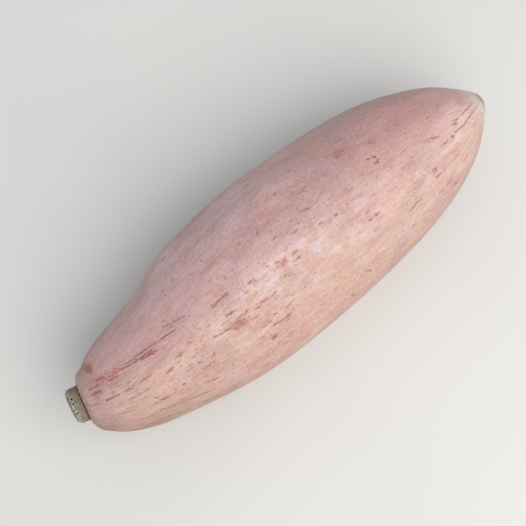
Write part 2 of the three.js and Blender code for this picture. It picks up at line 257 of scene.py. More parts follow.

# Broad tones: s, v, reach along and round the skin, and what they multiply the colour by; partly the
# skin's own tone
# and partly painted shade at the stem's shoulders, along the lower edge and at the outlines, with painted
# light on the shaded +Y side and the lit crest
TONES_WITH_PAINTED_LIGHT = [
    (60, -58, 70, 24, (0.84, 0.84, 0.85)), (60, 32, 30, 14, (1.05, 1.09, 1.11)),
    (250, -38, 34, 14, (0.97, 0.91, 0.88)), (10, -14, 26, 26, (0.90, 0.89, 0.90)),
    (11, 38, 26, 22, (0.66, 0.70, 0.70)), (13, -36, 30, 20, (0.74, 0.78, 0.78)),
    (65, 66, 50, 20, (0.80, 0.90, 0.91)), (140, -34, 60, 20, (0.95, 0.92, 0.89)),
    (130, -42, 70, 28, (0.92, 0.89, 0.86)), (125, 52, 90, 24, (1.08, 1.13, 1.14)),
    (175, 72, 85, 26, (1.06, 1.16, 1.20)), (330, 40, 75, 22, (0.83, 0.81, 0.81)),
    (385, 66, 110, 34, (0.86, 0.82, 0.80)), (380, 100, 130, 30, (0.76, 0.80, 0.80)),
    (448, -14, 62, 28, (1.20, 1.30, 1.30)), (420, -42, 66, 22, (1.14, 1.18, 1.19)),
    (340, -28, 80, 26, (1.10, 1.08, 1.12)), (205, -8, 44, 32, (1.08, 1.17, 1.18)),
    (262, -14, 34, 14, (1.02, 1.06, 1.09)), (262, -44, 45, 16, (0.98, 0.92, 0.88)),
    (225, 48, 84, 26, (1.06, 1.10, 1.12)), (185, 34, 95, 36, (1.03, 1.06, 1.07)),
    (64, -64, 60, 22, (0.86, 0.88, 0.85)), (108, -76, 50, 18, (0.90, 0.90, 0.89)),
    (400, -25, 26, 12, (1.07, 1.08, 1.09)), (432, 50, 52, 26, (0.86, 0.88, 0.85)),
    (448, 2, 34, 16, (1.10, 1.12, 1.12)), (205, 8, 50, 20, (1.07, 1.09, 1.06)),
    (305, -30, 60, 14, (1.04, 1.07, 1.10)), (304, -60, 30, 14, (1.12, 1.16, 1.16)),
]

# Radius of the round space in which the skin's patterns are looked up
SKIN_RADIUS = 70

# Where the tones lie, as ends of their fades along s, round v or in the cosine of phi, with shares
TONE_DRIFT = 26
TONE_FADE = (0.0, 0.9)
SALMON_SIDE = (14, -30)
DUSKY_SIDE = (28, 85, 0.75)
ROSY_ALONG = (290, 400, 420, 455)
ROSY_ROUND = (62, 30, 6, -8)
ROSY_SHARE = 0.65
DULL_STEM = (95, 10, 0.7)
# The belly's tint is painted shade, darker down the sides and under the fruit towards the ground, most at
# the stem half
BELLY_ROUND = (0.6, 0.05)
BELLY_ALONG = (300, 70, 0.45, 1.0)
PAINTED_BELLY_SHADE = (0.74, 0.73, 0.69)
LIVELY_ALONG = (350, 260)
LIVELY_ROUND = (15, -10)
CALM_SHARE = 0.35

# Clouds: pattern, whether it is calmer on the dusky blossom side, and its fades, shares and tints
CLOUDS = [
    ("clouds", True, [(0.5, 0.72, 1.0, (0.90, 0.80, 0.80)), (0.5, 0.28, 1.0, (1.08, 1.14, 1.13))]),
    ("dapples", True, [(0.47, 0.33, 1.0, (0.88, 0.88, 0.88)), (0.53, 0.67, 1.0, (1.09, 1.09, 1.09))]),
    ("hues", False, [(0.47, 0.64, 0.8, (1.01, 1.04, 1.13)), (0.5, 0.34, 0.8, (1.02, 0.98, 0.90))]),
]

# Blushes, bloom, grain and mottle: the fades of their patterns, where they lie, and their shares
BLUSH_FADE = (0.52, 0.7)
BLUSH_SHARE = 0.5
BLOOM_FADE = (0.4, 0.66)
BLOOM_ROUND = (10, -12, -28, -60)
BLOOM_ALONG = (90, 180, 280, 330)
BLOOM_SHARE = 0.6
GRAIN_FADE = (0.62, 0.36, 0.26)
PALE_MOTTLE_FADE = (0.53, 0.68, 0.42)
DARK_MOTTLE_FADE = (0.47, 0.32, 0.42)

# Random flecks: where they are dense, and in each layer the size across, length by width, the share of
# the cells that stay empty where they are rare and where they are dense, and the seed
FLECKED_ROUND = (20, -22, -82, -112)
FLECKED_FROM = (6, 26)
FLECKED_LESS = (200, 300, 1.0, 0.18)
FLECK_BEND_SIZE = 1.3
FLECK_BEND = (0.9, 1.9, 1.9)
FLECK_REACH = (0.16, 0.34)
FLECK_STRANDS = 0.4
FLECK_FADE = (0.16, 0.6, 0.0, 0.85)
FLECK_LAYERS = [
    {"size": 4.2, "stretch": 5.0, "rare": 0.88, "often": 0.28, "seed": 3.0},
    {"size": 2.8, "stretch": 3.4, "rare": 0.88, "often": 0.3, "seed": 41.0},
    {"size": 2.0, "stretch": 2.0, "rare": 0.88, "often": 0.48, "seed": 77.0},
]

# The reach of the strands that fray the marks, and a radius that is safe to divide by
STRAND_REACH = 2.2
TINY = 0.1

# Placed marks: how far their outlines drift, and for each kind its colour, how much the strands fray it,
# the fade from its outline to its middle, the fade of what breaks it up, and whether it is dull
MARK_DRIFT = (1.6, 2.0, 0.6, (5.0, 1.5, 0.0))
BREAKS_FADE = (0.36, 0.6)
MARK_LOOKS = {
    "pale": ((214, 192, 190), 0.0, (0.1, 0.7), (0.4, 0.62, 0.1, 0.75), False),
    "tan": ((158, 112, 78), 0.35, (0.2, 0.7, 0.0, 0.9), None, False),
    "red": ((182, 110, 104), 0.6, (0.1, 0.8), (0.58, 0.38, 0.25, 0.95), False),
    "faint": ((166, 118, 108), 1.0, (0.2, 0.9), (0.0, 1.0, 0.25, 0.65), False),
    "olive": ((136, 108, 80), 1.0, (0.1, 0.9), (0.0, 1.0, 0.25, 0.75), False),
    "rust": ((154, 102, 82), 1.0, (0.22, 0.8), (0.0, 1.0, 0.6, 0.95), True),
    "dark": ((144, 90, 84), 0.8, (0.2, 0.75), (0.0, 1.0, 0.6, 1.0), True),
}

# Tones at the two ends: how ragged their edges are, and their fades along s, shares and colours. Those of
# the dish are partly painted shade in the recess round the stem.
END_TONES = [
    (5, [(468, 492, 0.7, "blossom end"), (491, 499, 0.75, "green ring"), (501, 503, 0.9, "scar")]),
    (7, [(5.4, 2.2, 0.65, "dish shade"), (2.9, 1.4, 1.0, "dish")]),
]

# The stub's colours: the fades of its patterns, of its cut face, holes and lips, and along its axis. The
# dark of the holes is painted shade, and the dark crevice at the foot is partly painted shade.
CORK_CLOUDS = (0.36, 0.64)
CORK_FIBRES = (0.56, 0.36, 0.5)
CORK_FOOT = (5.5, 1.5, 0.8)
CREVICE_DRIFT = 3
CREVICE_SHADE_EDGE = (1.5, 0.5, 1.0)
FACE_CLOUDS = (0.38, 0.62)
FACE_CRUMBS = (0.55, 0.35, 0.5)
FACE_EDGE = (0.12, 0.6)
LIP_EDGE = (0.3, 0.85)
LIP_CLOUDS = (0.42, 0.6, 0.2, 1.0)
LIP_SHARE = 0.85
HOLE_SHADE_EDGE = (0.15, 0.6, 1.0)

# Relief of the materials as depth in millimetres and strength, and how glossy they are
GRAIN_BUMP = (0.06, 0.6)
MOTTLE_BUMP = (0.12, 0.6)
PORE_BUMP = (0.04, 0.5)
FIBRE_BUMP = (0.35, 0.8)
LUMP_BUMP = (0.3, 0.5)
SKIN_ROUGHNESS = (0.3, 0.7, 0.46, 0.6)
MARK_ROUGHNESS = (0.1, 0.6, 0.0, 0.18)
SKIN_SPECULAR = 0.4
CORK_ROUGHNESS = (0.3, 0.7, 0.75, 0.92)
CORK_SPECULAR = 0.25

# The floor and the light in metres, with the floor's relief as depth in millimetres and strength
FLOOR_HALF_SIZE = 6.0
FLOOR_CLOUD_SIZE = 0.35
FLOOR_CLOUDS = (0.3, 0.7)
FLOOR_GRAIN_SIZE = 0.004
FLOOR_BUMP = (0.05, 0.2)
FLOOR_ROUGHNESS = 0.7
FLOOR_SPECULAR = 0.3
WORLD_COLOR = (0.91, 0.95, 1.0)
WORLD_STRENGTH = 0.66
KEY_PLACE = (0.25, -1.15, 1.6)
KEY_TARGET = (0.0, 0.0, 0.07)
KEY_SIZE = 2.6
KEY_POWER = 36
KEY_COLOR = (1.0, 0.96, 0.90)

# The camera, above the fruit as in the photograph, with the fruit's axis turned in the frame
CAMERA_PLACE = (-0.1255, -0.1264, 1.2854)
CAMERA_TILT = math.radians(8)
CAMERA_TURN = math.radians(-39.3)
CAMERA_LENS = 89.86

MIDDLE = (STEM_POLE[0] + BLOSSOM_POLE[0]) / 2
HALF_LENGTH = (BLOSSOM_POLE[0] - STEM_POLE[0]) / 2


def knot(section):
    """One section as the turn t along the fruit and what is smoothed over t."""
    x, y, z, half_width, half_height, yaw, pitch = section
    t = math.acos((MIDDLE - x) / HALF_LENGTH)
    return (t, y, z, half_width / math.sin(t), half_height / math.sin(t), yaw, pitch)


KNOTS = np.array([(0.0, *STEM_POLE[1:]), *map(knot, SECTIONS), (math.pi, *BLOSSOM_POLE[1:])])
SLOPES = np.zeros_like(KNOTS)
SLOPES[1:-1] = (KNOTS[2:] - KNOTS[:-2]) / (KNOTS[2:, :1] - KNOTS[:-2, :1])
Y, Z, WIDTH, HEIGHT, YAW, PITCH = range(1, 7)


def smooth(column, t):
    """A smooth curve through one column of the knots, level at both poles."""
    i = np.clip(np.searchsorted(KNOTS[:, 0], t, side="right") - 1, 0, len(KNOTS) - 2)
    span = KNOTS[i + 1, 0] - KNOTS[i, 0]
    u = (t - KNOTS[i, 0]) / span
    start = SLOPES[i, column] * span
    end = SLOPES[i + 1, column] * span
    rise = u * u * (3 - 2 * u)
    value = KNOTS[i, column] + (KNOTS[i + 1, column] - KNOTS[i, column]) * rise
    return value + start * u * (1 - u) ** 2 - end * u * u * (1 - u)


def bell(x, width):
    return np.exp(-((x / width) ** 2))


def ease(x, start, end):
    """0 before start, 1 after end and a smooth step between them."""
    u = np.clip((x - start) / (end - start), 0, 1)
    return u * u * (3 - 2 * u)


def waves(table, phi, along):
    return sum(height * np.sin(around * phi + drift * along + phase)
               for around, drift, phase, height in table)


def section_at(t):
    """Centre, directions and radii of the sections at the turns t."""
    yaw = np.radians(smooth(YAW, t))
    pitch = np.radians(smooth(PITCH, t))
    along = np.stack([np.cos(pitch) * np.cos(yaw), np.cos(pitch) * np.sin(yaw), np.sin(pitch)], -1)
    side = np.stack([-np.sin(yaw), np.cos(yaw), 0 * yaw], -1)
    centre = np.stack([MIDDLE - HALF_LENGTH * np.cos(t), smooth(Y, t), smooth(Z, t)], -1)
    half_width = smooth(WIDTH, t) * np.sin(t)
    half_height = smooth(HEIGHT, t) * np.sin(t)
    return centre, along, side, np.cross(along, side), half_width, half_height


def relief(t, phi):
    ribs = RIB_HEIGHT * np.cos(RIB_COUNT * (phi + RIB_TWIST * np.cos(t)) + RIB_PHASE)
    from_keel = 2 * np.sin((phi - KEEL_ANGLE) / 2)
    keel = KEEL_HEIGHT * bell(from_keel, KEEL_HALF_ANGLE) * (1 - np.cos(t)) / 2
    return np.sin(t) * (ribs + keel + waves(LUMP_WAVES, phi, t))


RIM = section_at(np.array(RIM_TURN))
RIM_RADIUS = float(RIM[4])
DISH_RADIUS = RIM_RADIUS - DISH_WALL


def skin_points(t, phi):
    """Points of the skin at turn t and angle phi, with phi = 0 at the top and growing towards +Y."""
    centre, along, side, up, half_width, half_height = section_at(t)
    radius = np.sqrt(half_width * half_height)
    swell = 1 + relief(t, phi) / np.maximum(radius, 1)
    points = centre + side * (half_width * swell * np.sin(phi))[..., None]
    points = points + up * (half_height * swell * np.cos(phi))[..., None]
    lip = -LIP_HEIGHT * bell(radius - RIM_RADIUS - LIP_WIDTH / 2, LIP_WIDTH / 2)
    scar = SCAR_RIM_HEIGHT * bell(radius - SCAR_RADIUS, SCAR_RIM_WIDTH)
    points = points + along * np.where(t < math.pi / 2, lip, scar)[..., None]
    z = points[..., 2]
    settled = (z + GROUND_BLEND) ** 2 / (4 * GROUND_BLEND)
    points[..., 2] = np.where(z >= GROUND_BLEND, z, np.where(z <= -GROUND_BLEND, 0, settled))
    return points


def stem_points(out, radius, phi):
    """Points by their distances along the stem's axis, out of the fruit, and from that axis."""
    centre, along, side, up = RIM[:4]
    out, radius, phi = np.broadcast_arrays(out, radius, phi)
    return (centre - along * out[..., None] + side * (radius * np.sin(phi))[..., None]
            + up * (radius * np.cos(phi))[..., None])


def closed_mesh(name, first_tip, rows, last_tip):
    """A closed mesh from rows of points round an axis, with a tip at each end."""
    count, around = rows.shape[:2]
    points = np.vstack([first_tip, rows.reshape(-1, 3), last_tip]) * MM
    here = 1 + np.arange(count * around).reshape(count, around)
    beside = np.roll(here, -1, axis=1)
    quads = np.stack([here[:-1], here[1:], beside[1:], beside[:-1]], -1).reshape(-1, 4)
    last = len(points) - 1
    faces = quads.tolist()
    faces += [(0, a, b) for a, b in zip(here[0].tolist(), beside[0].tolist())]
    faces += [(last, b, a) for a, b in zip(here[-1].tolist(), beside[-1].tolist())]
    mesh = bpy.data.meshes.new(name)
    mesh.from_pydata(points.tolist(), [], faces)
    mesh.shade_smooth()
    return mesh


def keep(mesh, name, first_tip, rows, last_tip):
    """Stores one value or vector a point on the mesh, in the order of closed_mesh."""
    vectors = rows.ndim == 3
    values = np.concatenate([np.ravel(first_tip), rows.ravel(), np.ravel(last_tip)])
    attribute = mesh.attributes.new(name, "FLOAT_VECTOR" if vectors else "FLOAT", "POINT")
    attribute.data.foreach_set("vector" if vectors else "value", values.astype(np.float32))


def add_piece(name, mesh, node, material):
    piece = bpy.data.objects.new(name, mesh)
    bpy.context.scene.collection.objects.link(piece)
    mesh.materials.append(material)
    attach(piece, "root")
    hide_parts(node)


# Lengths along the skin from the rim of the dish, in step with the turns
TURNS = np.linspace(RIM_TURN, math.pi, 2000)
MEAN_RADII = np.sqrt(smooth(WIDTH, TURNS) * smooth(HEIGHT, TURNS)) * np.sin(TURNS)
STEPS = np.hypot(np.diff(MIDDLE - HALF_LENGTH * np.cos(TURNS)), np.diff(MEAN_RADII))
SKIN_LENGTHS = np.concatenate([[0], np.cumsum(STEPS)])
SKIN_LENGTH = float(SKIN_LENGTHS[-1])


def fruit_mesh():
    """The fruit. Its skin attribute holds the length s along the skin, cos(phi) and sin(phi)."""
    phi = np.arange(FRUIT_AROUND) * 2 * math.pi / FRUIT_AROUND
    s = np.linspace(0, SKIN_LENGTH, FRUIT_ALONG + 1)[:-1]
    t = np.interp(s, SKIN_LENGTHS, TURNS)
    skin = skin_points(*np.broadcast_arrays(t[:, None], phi[None, :]))
    dish_radii = np.array([*DISH_ROWS, DISH_RADIUS])
    dish = stem_points(-DISH_DEPTH, dish_radii[:, None], phi[None, :])
    rows = np.concatenate([dish, skin])
    lengths = np.concatenate([dish_radii - DISH_RADIUS - DISH_DEPTH, s])
    girths = np.concatenate([dish_radii, np.interp(t, TURNS, MEAN_RADII)])
    tips = stem_points(-DISH_DEPTH, 0.0, 0.0), skin_points(np.array(math.pi), np.array(0.0))
    mesh = closed_mesh("fruit_skin", tips[0], rows, tips[1])
    across = np.broadcast_to(phi, rows.shape[:2])
    along = np.broadcast_to(lengths[:, None], rows.shape[:2])
    coordinates = np.stack([along, np.cos(across), np.sin(across)], -1)
    keep(mesh, "skin", (-DISH_RADIUS - DISH_DEPTH, 1, 0), coordinates, (SKIN_LENGTH, 1, 0))
    keep(mesh, "girth", 0.0, np.broadcast_to(girths[:, None], rows.shape[:2]), 0.0)
    return mesh


def stub_radius(out, phi):
    return RIM_RADIUS - STUB_CREVICE + waves(STUB_WAVES, phi, out)


def cut_face(radius, phi):
    """How far out the cut face stands."""
    slope = np.sin(phi) * math.tan(STUB_CUT_TURN) - np.cos(phi) * math.tan(STUB_CUT_TILT)
    return STUB_LENGTH + radius * slope + STUB_DOME * (1 - (radius / RIM_RADIUS) ** 2)


def shoulder(phi):
    """How far out the rounded edge of the stub begins."""
    return cut_face(RIM_RADIUS - STUB_CREVICE - STUB_EDGE, phi) - STUB_EDGE


def end_place(from_axis, phi):
    """A point of the rounded edge or the cut face: across, up and out along the stem's axis."""
    edge = shoulder(phi)
    share = (from_axis - stub_radius(edge, phi) + STUB_EDGE) / STUB_EDGE
    out = cut_face(from_axis, phi) if share <= 0 else edge + STUB_EDGE * math.sqrt(1 - share * share)
    return np.array([from_axis * math.sin(phi), from_axis * math.cos(phi), out])


def rough(points, size, seed):
    """Smooth random values from -1 to 1 at points, with lumps of about the given size."""
    flat = points.reshape(-1, 3) / size + seed
    values = [noise.fractal(Vector(p), *FRACTAL) for p in flat.tolist()]
    return np.clip(np.reshape(values, points.shape[:-1]), -1, 1)


def stub_mesh():
    """The stub. It keeps its own axes as stem, and marks its cut face, holes and their lips."""
    phi = (np.arange(STUB_AROUND) * 2 * math.pi / STUB_AROUND)[None, :]
    foot = -DISH_DEPTH + STUB_GAP
    edge = shoulder(phi)
    foot_radius = np.minimum(stub_radius(foot, phi), DISH_RADIUS - STUB_GAP)
    share = np.linspace(0, 1, STUB_FOOT_ROWS + 1)[1:, None]
    foot_rows = foot + 0 * share * phi, share * foot_radius, 0 * share * phi
    share = np.linspace(0, 1, STUB_SIDE_ROWS + 1)[1:, None]
    side_out = foot + (edge - foot) * share
    side_rows = side_out, stub_radius(side_out, phi), 0 * side_out
    bend = np.linspace(0, math.pi / 2, STUB_EDGE_ROWS + 1)[1:, None]
    face_radius = stub_radius(edge, phi) - STUB_EDGE
    edge_rows = edge + STUB_EDGE * np.sin(bend), face_radius + STUB_EDGE * np.cos(bend), bend + 0 * phi
    share = np.linspace(1, 0, STUB_FACE_ROWS + 1)[1:-1, None]
    face_rows = cut_face(share * face_radius, phi), share * face_radius, math.pi / 2 + 0 * share * phi
    rows = zip(foot_rows, side_rows, edge_rows, face_rows)
    out, radius, facing = (np.concatenate(row) for row in rows)

    flat = np.stack([radius * np.sin(phi), radius * np.cos(phi), out], -1)
    from_axis = np.hypot(flat[..., 0], flat[..., 1])
    on_face = facing > FACE_BEGINS
    hole = on_face * ease(-from_axis, -PITH_RADIUS * PITH_WALL[0], -PITH_RADIUS * PITH_WALL[1])
    sunk = PITH_DEPTH * hole
    lips = np.zeros_like(out)
    ragged = VESSEL_RAGGEDNESS * rough(flat, *RAGGED_LUMPS)
    for degrees, distance in VESSELS:
        place = end_place(distance, math.radians(degrees))
        from_vessel = np.linalg.norm(flat - place, axis=-1) + ragged
        inside = ease(-from_vessel, -VESSEL_RADIUS * VESSEL_WALL[0], -VESSEL_RADIUS * VESSEL_WALL[1])
        hole = np.maximum(hole, inside)
        sunk = np.maximum(sunk, VESSEL_DEPTH * inside)
        lips = np.maximum(lips, bell(from_vessel - VESSEL_RADIUS - VESSEL_LIP_WIDTH, VESSEL_LIP_WIDTH))
    on_cut = np.sin(facing)
    fibres = STUB_FIBRE_HEIGHT * rough(flat * STUB_FIBRE_SQUEEZE, *FIBRE_LUMPS)
    crumbs = STUB_FACE_ROUGHNESS * rough(flat, *CRUMB_LUMPS)
    rise = ease(out, foot + FIBRES_BEGIN[0], foot + FIBRES_BEGIN[1]) * (1 - on_cut) * fibres
    rise = rise + ease(on_cut, *CRUMBS_BEGIN) * (crumbs + VESSEL_LIP_HEIGHT * lips - sunk)
    rows = stem_points(out + rise * on_cut, radius + rise * np.cos(facing), phi)
    tips = stem_points(foot, 0.0, 0.0), stem_points(cut_face(0.0, 0.0) - PITH_DEPTH, 0.0, 0.0)
    mesh = closed_mesh("stub_cork", tips[0], rows, tips[1])
    keep(mesh, "stem", (0, 0, foot), flat, (0, 0, STUB_LENGTH))
    keep(mesh, "cut", 0.0, on_cut, 1.0)
    keep(mesh, "hole", 0.0, hole, 1.0)
    keep(mesh, "lip", 0.0, lips, 0.0)
    return mesh


def rgb(red, green, blue):
    """A colour from 0 to 255 as seen on a screen, as linear light."""
    linear = [((c / 255 + 0.055) / 1.055) ** 2.4 for c in (red, green, blue)]
    return (*linear, 1.0)


class Graph:
    """A material's shader nodes, added one after the other."""

    def __init__(self, name):
        self.material = bpy.data.materials.new(name)
        self.material.use_nodes = True
        self.tree = self.material.node_tree
        self.tree.nodes.clear()

    def add(self, kind, inputs, **settings):
        node = self.tree.nodes.new(kind)
        for key, value in settings.items():
            setattr(node, key, value)
        for key, value in inputs.items():
            if isinstance(value, bpy.types.NodeSocket):
                self.tree.links.new(value, node.inputs[key])
            else:
                node.inputs[key].default_value = value
        return node

    def attribute(self, name, output="Fac"):
        node = self.add("ShaderNodeAttribute", {}, attribute_name=name, attribute_type="GEOMETRY")
        return node.outputs[output]

    def math(self, operation, a, b=0.0, c=0.0, clamp=False):
        inputs = {0: a, 1: b, 2: c}
        return self.add("ShaderNodeMath", inputs, operation=operation, use_clamp=clamp).outputs[0]

    def plus(self, a, b):
        return self.math("ADD", a, b)

    def times(self, a, b):
        return self.math("MULTIPLY", a, b)

    def highest(self, a, b):
        return self.math("MAXIMUM", a, b)

    def swing(self, share, reach):
        """A share about 0.5 as a shift of up to half the reach each way."""
        return self.times(self.math("SUBTRACT", share, 0.5), reach)

    def vector(self, operation, a, b):
        return self.add("ShaderNodeVectorMath", {0: a, 1: b}, operation=operation).outputs[0]

    def measure(self, operation, a, b):
        """A number worked out from two vectors."""
        return self.add("ShaderNodeVectorMath", {0: a, 1: b}, operation=operation).outputs[1]

    def parts(self, vector):
        return self.add("ShaderNodeSeparateXYZ", {0: vector}).outputs

    def join(self, x, y, z):
        return self.add("ShaderNodeCombineXYZ", {0: x, 1: y, 2: z}).outputs[0]

    def ball(self, where):
        """1 at the middle, falling evenly to 0 at a distance of 1 from it."""
        return self.add("ShaderNodeTexGradient", {0: where}, gradient_type="SPHERICAL").outputs[1]

    def fade(self, value, start, end, low=0.0, high=1.0):
        """low where value is at start, high where it is at end, and a smooth step between them."""
        inputs = {0: value, 1: start, 2: end, 3: low, 4: high}
        settings = {"interpolation_type": "SMOOTHSTEP", "clamp": True}
        return self.add("ShaderNodeMapRange", inputs, **settings).outputs[0]

    def within(self, value, begins, full, fades, ends):
        """1 from full to fades, and 0 before begins and after ends."""
        return self.times(self.fade(value, begins, full), self.fade(value, ends, fades))

    def noise(self, where, size, detail=2.0, roughness=0.5):
        """Cloudy noise about 0.5 with lumps of about the given size, in the unit of where."""
        inputs = {"Vector": where, "Scale": 1 / size, "Detail": detail, "Roughness": roughness}
        return self.add("ShaderNodeTexNoise", inputs)

    def pattern(self, where, size, detail, roughness, squeeze=None):
        """One number of cloudy noise, in a space that is squeezed to draw its lumps out."""
        if squeeze is not None:
            where = self.vector("MULTIPLY", where, squeeze)
        return self.noise(where, size, detail, roughness).outputs[0]

    def drift(self, where, size, detail, roughness, reach):
        """A cloudy shift of up to half the reach each way, for where a pattern is looked up."""
        clouds = self.noise(where, size, detail, roughness).outputs[1]
        shares = self.add("ShaderNodeSeparateColor", {0: clouds}).outputs
        return self.join(*(self.swing(share, length) for share, length in zip(shares, reach)))

    def mix(self, share, a, b, blend="MIX"):
        node = self.add("ShaderNodeMix", {0: share, 6: a, 7: b}, data_type="RGBA", blend_type=blend)
        return node.outputs[2]

    def tint(self, share, color, factors):
        """The colour, and where share is 1 the colour times the factors."""
        return self.mix(share, color, self.mix(1.0, color, (*factors, 1.0), "MULTIPLY"))

    def cover(self, color, value, start, end, share, shade):
        """The colour, covered by up to share with a shade as value goes from start to end."""
        return self.mix(self.fade(value, start, end, 0.0, share), color, rgb(*shade))

    def bump(self, height, distance, strength=1.0, normal=None):
        inputs = {"Height": height, "Distance": distance * MM, "Strength": strength}
        if normal is not None:
            inputs["Normal"] = normal
        return self.add("ShaderNodeBump", inputs).outputs[0]

    def finish(self, color, roughness, normal, specular):
        shader = self.add("ShaderNodeBsdfPrincipled", {
            "Base Color": color,
            "Roughness": roughness,
            "Normal": normal,
            "Specular IOR Level": specular,
        })
        self.add("ShaderNodeOutputMaterial", {0: shader.outputs[0]})
        return self.material


def on_skin(s, v):
    """A place of a mark. The line along the top leans to -Y of the line they were measured from."""
    leans = (shift * math.exp(-((s - middle) / reach) ** 2) for shift, middle, reach in TOP_LEAN)
    return s, v - sum(leans)


def placed(graph, where, start, end, scale):
    """Coordinates centred between two places of the skin, with x towards the second."""
    inputs = {
        "Vector": where,
        "Location": ((start[0] + end[0]) / 2, (start[1] + end[1]) / 2, 0),
        "Rotation": (0, 0, math.atan2(end[1] - start[1], end[0] - start[0])),
        "Scale": (*scale, 1),
    }
    return graph.add("ShaderNodeMapping", inputs, vector_type="TEXTURE").outputs[0]


def add_spindles(graph, where, table, field):
    """The field with one soft spindle for each streak: 1 on its middle, 0.5 at its outline."""
    for from_s, from_v, to_s, to_v, width in table:
        start = on_skin(from_s, from_v)
        end = on_skin(to_s, to_v)
        inside = placed(graph, where, start, end, (max(math.dist(start, end), width), width))
        field = graph.highest(field, graph.ball(inside))
    return field


def add_lines(graph, where, table, field):
    """The field with lines of even width through points: 1 on their spine, 0.5 at their outline."""
    for width, *points in table:
        points = [on_skin(*point) for point in points]
        for start, end in zip(points, points[1:]):
            length = math.dist(start, end)
            heading = ((end[0] - start[0]) / length, (end[1] - start[1]) / length, 0)
            begins = start[0] * heading[0] + start[1] * heading[1]
            along = graph.measure("DOT_PRODUCT", where, heading)
            limits = {0: along, 1: begins, 2: begins + length, 4: length}
            along = graph.add("ShaderNodeMapRange", limits).outputs[0]
            step = graph.add("ShaderNodeVectorMath", {0: heading, "Scale": along}, operation="SCALE")
            place = graph.vector("SUBTRACT", where, step.outputs[0])
            away = graph.measure("DISTANCE", place, (*start, 0))
            field = graph.highest(field, graph.math("MULTIPLY_ADD", away, -1 / width, 1.0))
    return field


def add_curl(graph, where, curl, field):
    """The field with an open ring, like a letter c seen from the blossom end."""
    place = graph.vector("SUBTRACT", where, (*on_skin(curl["s"], curl["v"]), 0))
    s, v, _ = graph.parts(place)
    radius = graph.math("SQRT", graph.plus(graph.times(s, s), graph.times(v, v)))
    off_ring = graph.math("ABSOLUTE", graph.math("SUBTRACT", radius, curl["radius"]))
    ring = graph.fade(off_ring, curl["spine"] * curl["width"], curl["width"], 1.0, 0.0)
    open_s = graph.times(s, math.cos(curl["open_at"]))
    open_v = graph.times(v, math.sin(curl["open_at"]))
    share = graph.math("DIVIDE", graph.plus(open_s, open_v), graph.highest(radius, TINY))
    tips = [math.cos(curl["half_open"]) + shift for shift in curl["tips"]]
    return graph.highest(field, graph.times(ring, graph.fade(share, *tips, 1.0, 0.0)))


def fleck_field(graph, around, layer, density):
    """Small lengthwise flecks in some of the cells of a stretched cell pattern, and their tone."""
    spread = graph.vector("MULTIPLY", around, (1 / layer["stretch"], 1, 1))
    spread = graph.vector("ADD", spread, (layer["seed"], 0, 0))
    bent = graph.drift(around, layer["size"] * FLECK_BEND_SIZE, 2.0, 0.5, FLECK_BEND)
    cells = graph.add("ShaderNodeTexVoronoi", {
        "Vector": graph.vector("ADD", spread, bent),
        "Scale": 1 / layer["size"],
        "Randomness": 1.0,
    })
    chance, size, tone = graph.add("ShaderNodeSeparateColor", {0: cells.outputs["Color"]}).outputs
    needed = graph.fade(density, 0, 1, layer["rare"], layer["often"])
    present = graph.math("GREATER_THAN", chance, needed)
    reach = graph.fade(size, 0, 1, *FLECK_REACH)
    away = graph.math("DIVIDE", cells.outputs["Distance"], reach)
    return graph.times(present, graph.math("SUBTRACT", 1.0, away, clamp=True)), tone


def skin_place(graph):
    """Where a point lies: s along the skin, v and cosine(phi) round it, and both in one round space."""
    skin = graph.attribute("skin", "Vector")
    girth = graph.attribute("girth")
    s, cosine, sine = graph.parts(skin)
    v = graph.times(graph.math("ARCTAN2", sine, cosine), girth)
    around = graph.join(s, graph.times(cosine, SKIN_RADIUS), graph.times(sine, SKIN_RADIUS))
    return SimpleNamespace(s=s, v=v, cosine=cosine, around=around)


def broad_tones(graph, place):
    """Salmon on the -Y side, dusky on the +Y side and duller at the stem, with broad tones partly painted
    light and shade that leave it paler at the blossom, and painted shade on the belly.
    """
    wander = graph.pattern(place.around, *PATTERNS["wander"])
    drifted_v = graph.plus(place.v, graph.swing(wander, TONE_DRIFT))
    salmon = graph.fade(drifted_v, *SALMON_SIDE)
    color = graph.mix(salmon, rgb(*SHADES["rose"]), rgb(*SHADES["salmon"]))
    color = graph.cover(color, drifted_v, *DUSKY_SIDE, SHADES["dusky"])
    rosy = graph.times(graph.within(place.s, *ROSY_ALONG), graph.within(place.v, *ROSY_ROUND))
    color = graph.mix(graph.times(rosy, ROSY_SHARE), color, rgb(*SHADES["rosy"]))
    color = graph.cover(color, place.s, *DULL_STEM, SHADES["dull"])
    flat_place = graph.join(place.s, drifted_v, 0.0)
    # Broad tones, partly the skin's own tone and partly painted shade and painted light
    for s, v, along, across, factors in TONES_WITH_PAINTED_LIGHT:
        inside = placed(graph, flat_place, (s, v), (s + 1, v), (along, across))
        color = graph.tint(graph.fade(graph.ball(inside), *TONE_FADE), color, factors)
    # Painted shade down the sides and under the belly
    belly = graph.times(graph.fade(place.cosine, *BELLY_ROUND), graph.fade(place.s, *BELLY_ALONG))
    return graph.tint(belly, color, PAINTED_BELLY_SHADE)


def cloudy_tones(graph, place, color):
    """Rose against cream, dark against light and lilac against peach, calmer on the dusky blossom side."""
    lively = graph.highest(graph.fade(place.s, *LIVELY_ALONG), graph.fade(place.v, *LIVELY_ROUND))
    lively = graph.math("MULTIPLY_ADD", lively, 1 - CALM_SHARE, CALM_SHARE)
    for name, calmed, tones in CLOUDS:
        clouds = graph.pattern(place.around, *PATTERNS[name])
        for start, end, share, factors in tones:
            shown = graph.fade(clouds, start, end, 0.0, share)
            if calmed:
                shown = graph.times(shown, lively)
            color = graph.tint(shown, color, factors)
    return color


